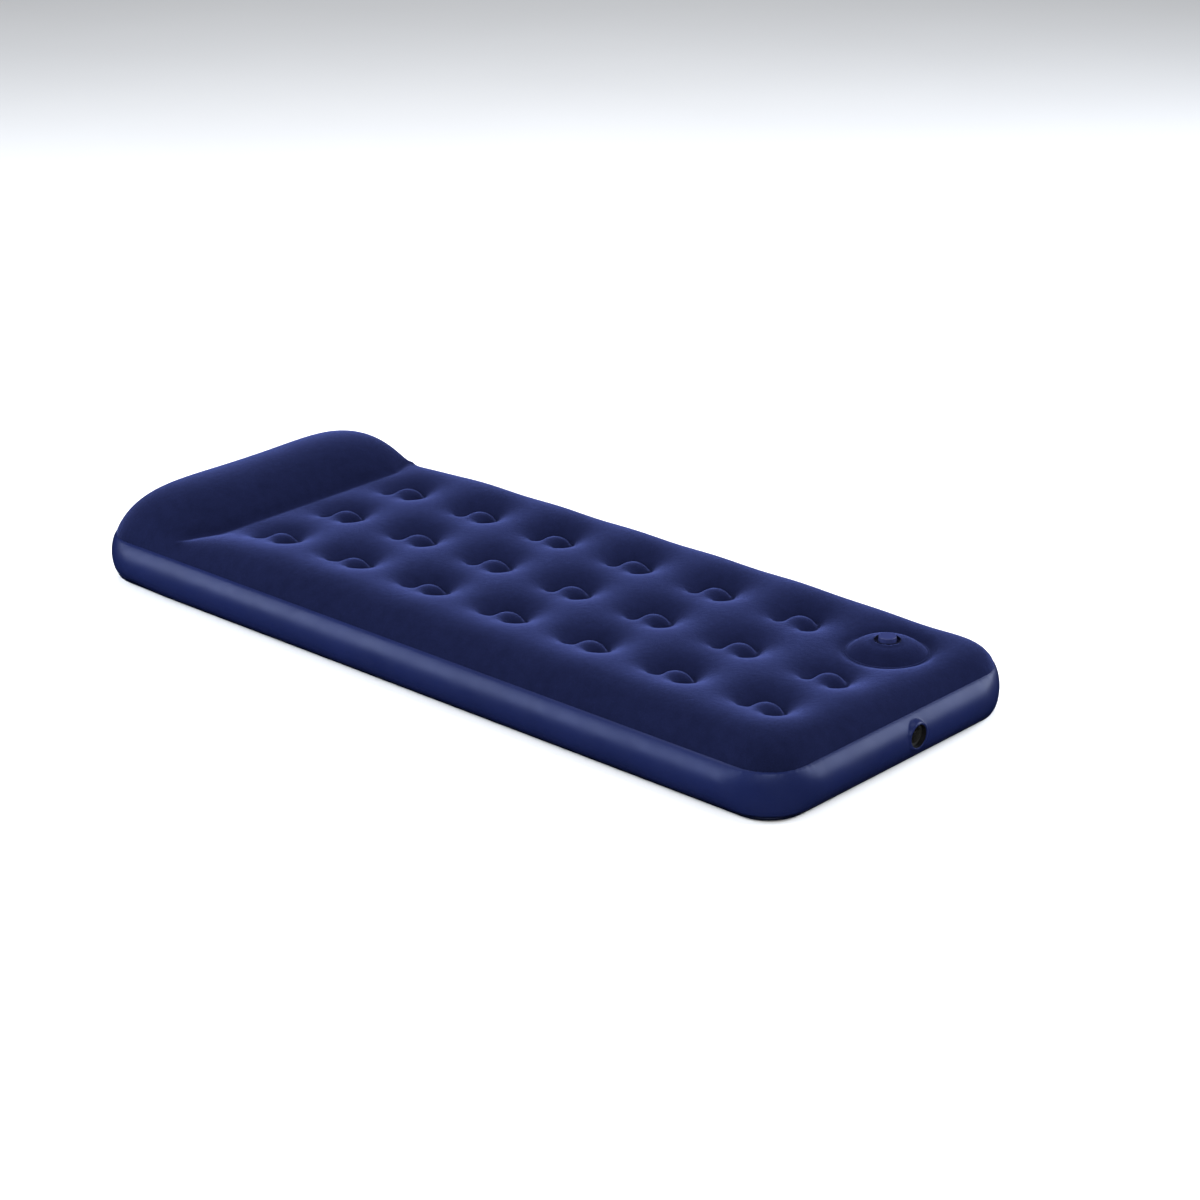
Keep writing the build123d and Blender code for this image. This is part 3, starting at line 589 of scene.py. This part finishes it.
def make_top_skin(material):
    """Flocked top with its dimples and pillow, open where the pump's dome is welded in."""
    plan = Plan(spacing=3.6 * MM)
    z = top_sheet_heights(plan) + puckers(plan.x, plan.y, plan.inset) * (plan.inset > 0)
    points = sheet_points(plan, z, -seam_tuck(plan.inset))
    middle, hole = np.array((PUMP_X, PUMP_Y)), PUMP_RADIUS + DOME_RIM_WIDTH / 2
    distance = np.linalg.norm(points[:, :2] - middle, axis=1)
    onto_circle = circle_pull(middle, hole, 0, 1)
    points, faces = without_hole(points, plan.faces(), distance, hole, onto_circle)
    piece = make_piece("top_skin", points, faces, material)
    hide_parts("top_sheet")
    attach(piece, "mattress")


def make_bottom_skin(material):
    """Plain underside: flat on the floor, turned up to its seam and drawn up at each coil beam."""
    turn_from, flat_from, fullness = -4 * MM, 26 * MM, 6 * MM
    pit_from, pit_reach, tongue_share = 2 * MM, 36 * MM, 0.25
    plan = Plan(spacing=5 * MM)
    rise = 1 - smooth(plan.inset, turn_from, flat_from)
    z = bottom_seam_z(plan.x, plan.y) * rise / rise.max()
    for x, y in coil_places():
        dx, dy = plan.x - x, plan.y - y
        pit = 1 - smooth(horseshoe_distance(dx, dy), pit_from, pit_reach)
        inside = (abs(dy) < COIL_RADIUS) & (dx > -COIL_ARM) & (dx < COIL_RADIUS)
        share = np.where(inside, tongue_share + (1 - tongue_share) * pit, pit)
        z = np.maximum(z, BOTTOM_WELD_Z * share)
    push = fullness * np.sin(math.pi * np.minimum(plan.inset / flat_from, 1))
    points = sheet_points(plan, z, push - seam_tuck(plan.inset))
    piece = make_piece("bottom_skin", points, plan.faces()[:, ::-1], material)
    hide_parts("bottom_sheet")
    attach(piece, "mattress")


def seam_outline(place):
    """Points and outward normals at lengths along the seam, anticlockwise from its +X side."""
    runs = (STRAIGHT_Y, CORNER_ARC, 2 * STRAIGHT_X, CORNER_ARC, 2 * STRAIGHT_Y, CORNER_ARC)
    runs += (2 * STRAIGHT_X, CORNER_ARC, STRAIGHT_Y)
    middles = ((1, 0), (1, 1), (0, 1), (-1, 1), (-1, 0), (-1, -1), (0, -1), (1, -1), (1, 0))
    starts = np.concatenate([[0], np.cumsum(runs)])
    points = np.zeros((len(place), 2))
    normals = np.zeros((len(place), 2))
    for k, (side_x, side_y) in enumerate(middles):
        here = (place >= starts[k]) & (place <= starts[k + 1])
        along = place[here] - starts[k]
        if side_x and side_y:
            turn = math.atan2(side_y, side_x) - math.pi / 4 + along / SEAM_CORNER
            normals[here] = np.stack([np.cos(turn), np.sin(turn)], axis=1)
            centre = np.array((side_x * STRAIGHT_X, side_y * STRAIGHT_Y))
            points[here] = centre + SEAM_CORNER * normals[here]
            continue
        if k == 0:
            offset = along
        else:
            offset = along - (STRAIGHT_Y if side_x else STRAIGHT_X)
        normal = np.array((side_x, side_y), dtype=float)
        direction = np.array((-side_y, side_x), dtype=float)
        middle = normal * (SEAM_HALF_WIDTH if side_x else SEAM_HALF_LENGTH)
        normals[here] = normal
        points[here] = middle + offset[:, None] * direction
    return points, normals


def wall_places(perimeter):
    """Lengths along the seam of the wall's columns of points, closer together at the valve."""
    coarse, fine, near_valve = 4 * MM, 1.8 * MM, 60 * MM
    valve_place = perimeter - STRAIGHT_Y - CORNER_ARC - STRAIGHT_X + VALVE_X
    stretches = (
        (0, valve_place - near_valve, coarse),
        (valve_place - near_valve, valve_place + near_valve, fine),
        (valve_place + near_valve, perimeter, coarse),
    )
    return np.concatenate(
        [np.linspace(a, b, round((b - a) / step), endpoint=False) for a, b, step in stretches]
    )


def bulge_share(outline):
    """How much of its full bulge the wall has, which is less round the corners."""
    past_x = np.maximum(abs(outline[:, 0]) - wall_high.x + OUTLINE_CORNER, 0)
    past_y = np.maximum(abs(outline[:, 1]) - wall_high.y + OUTLINE_CORNER, 0)
    return (OUTLINE_CORNER - np.hypot(past_x, past_y)) / WALL_BULGE


def over_valve(y, from_valve, from_top):
    """The wall's y where it is drawn out over the valve's flange, with a bead round the mouth."""
    skin, bead_height, bead_inset, bead_width = 0.4 * MM, 1.2 * MM, 1 * MM, 2 * MM
    collar, seam_end, seam_clear = 4 * MM, 1 * MM, 8 * MM
    swell = 1 - smooth(from_valve, VALVE_FLANGE_RADIUS - bead_inset, VALVE_FLANGE_RADIUS + collar)
    swell = swell * smooth(from_top, seam_end, seam_clear)
    bead = fading(from_valve - VALVE_FLANGE_RADIUS + bead_inset, bead_width)
    seat_y = VALVE_FACE_Y - skin - bead_height * bead
    return y + (seat_y - y) * swell


def make_wall_skin(material):
    """Side wall: an arc between its seams, with folds at its corners and faint waves."""
    rows, bottom_folds, far_away = 49, 0.8, 10
    long_wave, short_wave, wave_height, lean = 0.31, 0.083, 0.18 * MM, 3
    perimeter = 4 * (STRAIGHT_X + STRAIGHT_Y + CORNER_ARC)
    place = wall_places(perimeter)
    outline, normals = seam_outline(place)
    radius = (HALF_WALL**2 + WALL_BULGE**2) / (2 * WALL_BULGE)
    steepest = math.asin(HALF_WALL / radius)
    share = np.linspace(0, 1, rows)[:, None]
    turn = (2 * share - 1) * steepest
    low_z = bottom_seam_z(outline[:, 0], outline[:, 1])
    z = low_z + (TOP_SEAM_Z - low_z) * (1 + np.sin(turn) / math.sin(steepest)) / 2
    from_top = (1 - share) * 2 * steepest * radius
    from_bottom = share * 2 * steepest * radius
    out = radius * (np.cos(turn) - math.cos(steepest)) * bulge_share(outline)
    out += puckers(outline[:, 0], outline[:, 1], from_top)
    out += bottom_folds * puckers(outline[:, 0], outline[:, 1], from_bottom)
    out -= seam_tuck(from_top)
    out -= seam_tuck(from_bottom)
    waves = ripple(place, long_wave) + ripple(place, short_wave, phase=lean * share)
    out += wave_height * waves * np.sin(math.pi * share)
    x = outline[:, 0] + out * normals[:, 0]
    y = outline[:, 1] + out * normals[:, 1]
    # the head end has the same x and z as the foot end, and no valve
    from_valve = np.hypot(x - VALVE_X, z - VALVE_Z) + far_away * (y > 0)
    y = over_valve(y, from_valve, from_top)
    points = np.stack([x, y, z], axis=2).reshape(-1, 3)
    faces = band_faces(rows, len(place))
    hole = VALVE_FLANGE_RADIUS - 3.7 * MM  # its lip covers most of the flange's face
    onto_circle = circle_pull(np.array((VALVE_X, VALVE_Z)), hole, 0, 2)
    points, faces = without_hole(points, faces, from_valve.ravel(), hole, onto_circle)
    piece = make_piece("side_wall_skin", points, faces, material)
    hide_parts("side_wall")
    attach(piece, "mattress")


def make_dome_skin(material):
    """Flocked skin over the pump, with a flat rim welded to the top sheet."""
    rise = PUMP_TOP_Z - PUMP_RIM_Z - SHEET
    sphere = (PUMP_RADIUS**2 + rise**2) / (2 * rise)
    # millimetres out from the pump's recess and up from its rim
    rim = ((4.6, -0.5), (4.4, 0.6), (3.6, 0.9), (2.0, 0.9), (0.6, 0.9))
    profile = [(PUMP_RADIUS + out * MM, PUMP_RIM_Z + up * MM) for out, up in rim]
    steps = 34
    fullest, full_width = 2.2 * MM, 40 * MM
    lip_inset, lip_depth = 0.3 * MM, 2 * MM
    for k in range(steps + 1):
        radius = PUMP_RADIUS - (PUMP_RADIUS - DOME_HOLE) * k / steps
        height = PUMP_TOP_Z - sphere + math.sqrt(sphere**2 - radius**2)
        # the skin is fuller than a sphere next to its weld
        fullness = fullest * math.sin(math.pi * min(1, (PUMP_RADIUS - radius) / full_width))
        profile.append((radius, height + fullness))
    profile.append((DOME_HOLE - lip_inset, profile[-1][1] - lip_depth))
    points, faces = revolved(profile, (PUMP_X, PUMP_Y))
    piece = make_piece("pump_dome_skin", points, faces, material)
    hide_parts("pump_dome")
    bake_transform(piece)


def make_foam_core(material):
    """Foam core of the pump: a block with rounded edges and an air shaft down its middle."""
    shaft, foot_edge, chamfer = 20 * MM, 4 * MM, 1.5 * MM
    outside, shoulder = (foam_high.x - foam_low.x) / 2, 34 * MM
    low_z, high_z = foam_low.z, foam_high.z - 1 * MM
    wall_z = PUMP_RIM_Z - 2 * MM
    foot_steps, side_steps, shoulder_steps, shaft_steps = 6, 11, 14, 11
    foot, side = outside - foot_edge, low_z + foot_edge
    crown, bore = high_z - wall_z, high_z - chamfer
    profile = [(shaft, low_z)]
    for k in range(foot_steps + 1):
        turn = math.pi / 2 * k / foot_steps
        rise = foot_edge * (1 - math.cos(turn))
        profile.append((foot + foot_edge * math.sin(turn), low_z + rise))
    for k in range(1, side_steps + 1):
        profile.append((outside, side + (wall_z - low_z - foot_edge) * k / side_steps))
    for k in range(1, shoulder_steps + 1):
        turn = math.pi / 2 * k / shoulder_steps
        reach = (outside - shoulder) * math.cos(turn)
        profile.append((shoulder + reach, wall_z + crown * math.sin(turn)))
    profile += [(shaft + chamfer, high_z), (shaft, bore)]
    for k in range(1, shaft_steps + 1):
        profile.append((shaft, bore - (bore - low_z) * k / shaft_steps))
    points, faces = revolved(profile, (PUMP_X, PUMP_Y), segments=96)
    piece = make_piece("pump_foam_core", points, faces, material)
    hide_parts("pump_foam")
    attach(piece, "mattress")
    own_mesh(piece)


# ---- finishes for the pieces that keep their CAD shape ----
def dress_cad_nodes():
    """Gives the CAD nodes their finishes. The skins above stand for the others."""
    sheet_inside = vinyl("inner_vinyl", (0.045, 0.06, 0.2))
    body = moulded("moulded_pvc", (0.003, 0.0045, 0.022), roughness=0.35, specular=0.08)
    # painted shade: the intake seat is coloured darker than the moulded body, for the shade in the
    # groove round the cap
    seat = moulded("seat_pvc_painted_shade", (0.0015, 0.002, 0.009), roughness=0.5, specular=0.03)
    cap = moulded("cap_pvc", (0.010, 0.0135, 0.052), roughness=0.45, specular=0.1)
    black = moulded("valve_black", (0.003, 0.003, 0.0034), roughness=0.45, specular=0.14)
    insert = moulded("insert_black", (0.01, 0.01, 0.0095), roughness=0.38, specular=0.3)
    rubber = moulded("seal_rubber", (0.055, 0.055, 0.045), roughness=0.6, specular=0.3)
    dressed = {
        "pillow_baffle": sheet_inside,
        "pump_chamber_wall": sheet_inside,
        "pump_chamber_floor": sheet_inside,
        "pump_intake_seat": seat,
        "pump_outlet_seat": body,
        "valve_flange": black,
        "pump_cap": cap,
        "valve_insert": insert,
        "valve_gasket": rubber,
        "valve_diaphragm": black,
        "pump_outlet_flap": rubber,
    }
    for name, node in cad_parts.items():
        material = sheet_inside if name.startswith("coil_beam_") else dressed.get(name)
        if material:
            node.data.materials.clear()
            node.data.materials.append(material)


# ---- studio ----
def make_camera():
    """Long lens over the foot end's near corner."""
    azimuth, elevation = math.radians(-47.92), math.radians(21.97)
    distance, target = 6.239, Vector((0.063, -0.122, 0.1))
    back = Vector(
        (
            math.sin(azimuth) * math.cos(elevation),
            -math.cos(azimuth) * math.cos(elevation),
            math.sin(elevation),
        )
    )
    camera = bpy.data.objects.new("camera", bpy.data.cameras.new("camera"))
    camera.data.sensor_width = 36
    camera.data.lens = 95.4
    camera.location = target + back * distance
    camera.rotation_euler = back.to_track_quat("Z", "Y").to_euler()
    bpy.context.scene.collection.objects.link(camera)
    bpy.context.scene.camera = camera


def make_light(name, location, size, power, color=(1, 1, 1)):
    """A soft lamp that faces the middle of the bed and isn't seen itself."""
    aim = Vector((0, 0, 0.1))
    light = bpy.data.lights.new(name, "AREA")
    light.shape = "RECTANGLE"
    light.size, light.size_y = size
    light.energy = power
    light.color = color
    lamp = bpy.data.objects.new(name, light)
    lamp.location = location
    lamp.visible_camera = False
    lamp.rotation_euler = (Vector(location) - aim).to_track_quat("Z", "Y").to_euler()
    bpy.context.scene.collection.objects.link(lamp)


def make_floor():
    """Pale floor that reaches past the view and doesn't show in the wall's shine."""
    half, below = 40.0, 0.5 * MM
    corners = [(-half, -half), (half, -half), (half, half), (-half, half)]
    finish = Finish("floor", (0.6, 0.6, 0.6), 0.9, Specular_IOR_Level=0.0)
    finish.vary(size=900 * MM, amount=0.01)
    points = [(x, y, -below) for x, y in corners]
    floor = make_piece("floor", points, [(0, 1, 2, 3)], finish.done())
    floor.visible_glossy = False


def make_studio():
    """Camera, floor, four lamps and a white world that lights the scene evenly."""
    make_camera()
    make_floor()
    cool = (0.84, 0.9, 1.0)
    make_light("overhead", (0.3, 0.6, 4.2), (3.0, 3.0), 260)
    make_light("front", (-3.0, -3.3, 2.5), (3.4, 2.0), 300)
    make_light("left_back", (-3.7, 3.2, 2.2), (4.4, 3.2), 700, cool)
    make_light("right", (3.7, -3.1, 2.2), (4.4, 3.2), 620, cool)
    world = bpy.data.worlds.new("studio")
    world.use_nodes = True
    world.node_tree.nodes["Background"].inputs["Color"].default_value = (1, 1, 1, 1)
    world.node_tree.nodes["Background"].inputs["Strength"].default_value = 0.4
    bpy.context.scene.world = world
    world.cycles_visibility.glossy = False
    bpy.context.scene.view_settings.view_transform = "Standard"


flock_material = flock()
make_top_skin(flock_material)
make_dome_skin(flock_material)
make_wall_skin(vinyl("wall_vinyl", (0.003, 0.0052, 0.027)))
make_bottom_skin(vinyl("base_vinyl", (0.002, 0.0034, 0.018)))
make_foam_core(foam())
dress_cad_nodes()
make_studio()
